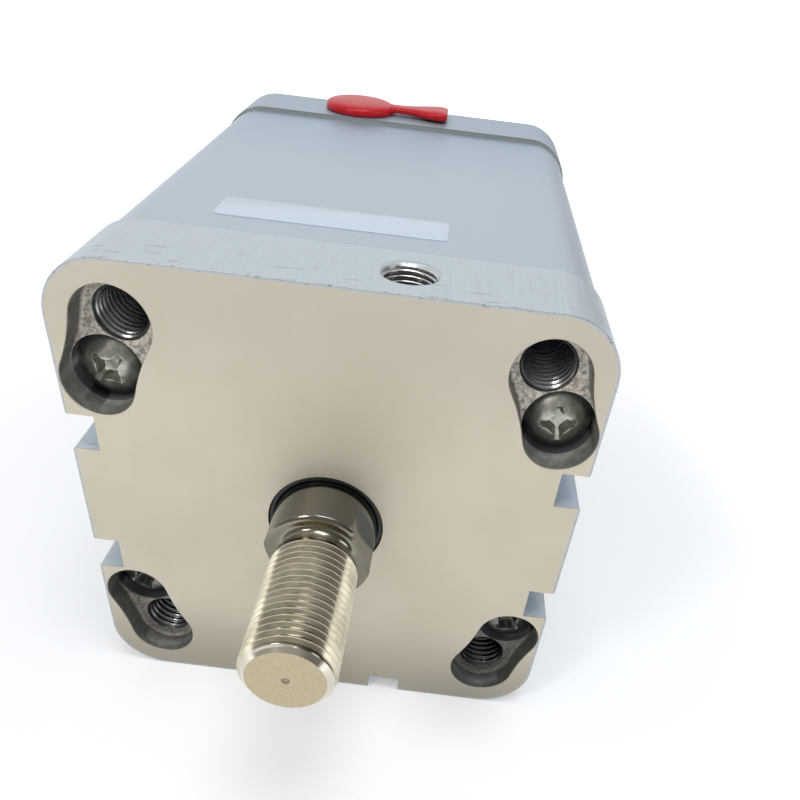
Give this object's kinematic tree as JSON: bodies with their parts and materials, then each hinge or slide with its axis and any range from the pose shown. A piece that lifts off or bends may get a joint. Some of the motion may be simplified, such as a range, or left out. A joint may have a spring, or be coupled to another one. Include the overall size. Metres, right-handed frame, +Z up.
{
  "type": "pneumatic cylinder",
  "caption": "Square compact double-acting pneumatic cylinder with a threaded piston rod, side switch tracks, top air ports and corner mounting threads.",
  "frame": {"origin": "on the piston rod's axis, in the front cap's flat mounting face", "axes": "+X along the rod, the way it extends; +Z up, the way the air ports face; +Y towards the front port's side"},
  "size_m": [0.173, 0.094, 0.0968],
  "materials": {
    "barrel_aluminium": "smooth anodised, pale blue-grey",
    "cap_aluminium": "satin, bead-blasted die casting",
    "piston_aluminium": "machined",
    "zinc_steel": "zinc plated",
    "rod_steel": "hard-chromed shank, bright turned thread",
    "bush_bronze": "sintered",
    "seal_rubber": "semi-gloss black",
    "magnet_plastic": "matt",
    "bearing_plastic": "matt",
    "red_plastic": "glossy, slightly translucent"
  },
  "bodies": {
    "cylinder_body": {"barrel": "barrel_aluminium", "front_cap": "cap_aluminium", "rear_cap": "cap_aluminium", "front_cap_screws": "zinc_steel", "rear_cap_screws": "zinc_steel", "front_cap_gasket": "seal_rubber", "rear_cap_gasket": "seal_rubber", "rod_bush": "bush_bronze", "rod_seal": "seal_rubber", "rod_wiper": "seal_rubber", "front_bumper": "seal_rubber", "rear_bumper": "seal_rubber"},
    "piston_rings": {"front_piston_seal": "seal_rubber", "rear_piston_seal": "seal_rubber", "piston_wear_ring": "bearing_plastic"},
    "piston_and_rod": {"piston_rod": "rod_steel", "front_piston_half": "piston_aluminium", "rear_piston_half": "piston_aluminium", "piston_magnet": "magnet_plastic", "rod_o_ring": "seal_rubber", "piston_bolt": "zinc_steel", "piston_washer": "zinc_steel"},
    "port_plug": {"port_plug": "red_plastic"}
  },
  "joints": [
    {"name": "rod_stroke", "type": "slide", "parent": "cylinder_body", "child": "piston_rings", "axis": [1, 0, 0], "range_m": [0, 0.08]},
    {"name": "rod_turn", "type": "hinge", "parent": "piston_rings", "child": "piston_and_rod", "pos_m": [0, 0, 0], "axis": [1, 0, 0], "continuous": true},
    {"name": "plug_pull", "type": "slide", "parent": "cylinder_body", "child": "port_plug", "axis": [0, 0, 1], "range_m": [0, 0.012]}
  ]
}
